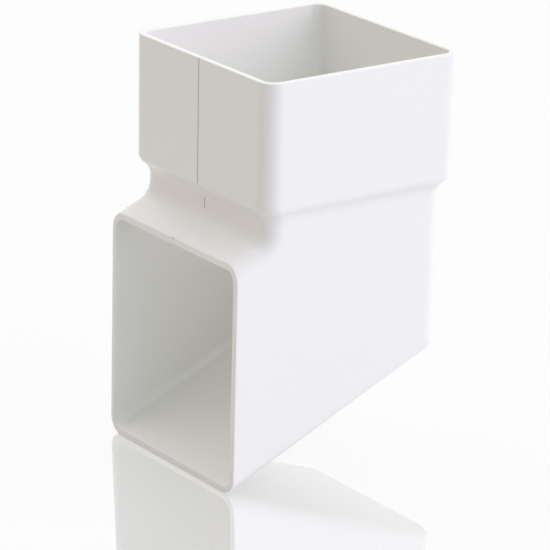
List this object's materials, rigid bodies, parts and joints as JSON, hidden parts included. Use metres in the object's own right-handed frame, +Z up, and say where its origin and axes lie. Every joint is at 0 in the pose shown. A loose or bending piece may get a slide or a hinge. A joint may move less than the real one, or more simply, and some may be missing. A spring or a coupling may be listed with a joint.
{
  "type": "downpipe shoe",
  "caption": "Square rainwater downpipe shoe: a plain socket above a stepped neck, and a wide leg that slopes forward to an open mouth.",
  "frame": {"origin": "centre of the socket, level with the ledge that stops the pipe", "axes": "+Z up the pipe out of the socket, -Y out of the mouth, +X across the shoe"},
  "size_m": [0.07, 0.078, 0.1246],
  "materials": {
    "shoe_plastic": "gloss"
  },
  "bodies": {
    "root": {"downpipe_shoe": "shoe_plastic"}
  },
  "joints": []
}
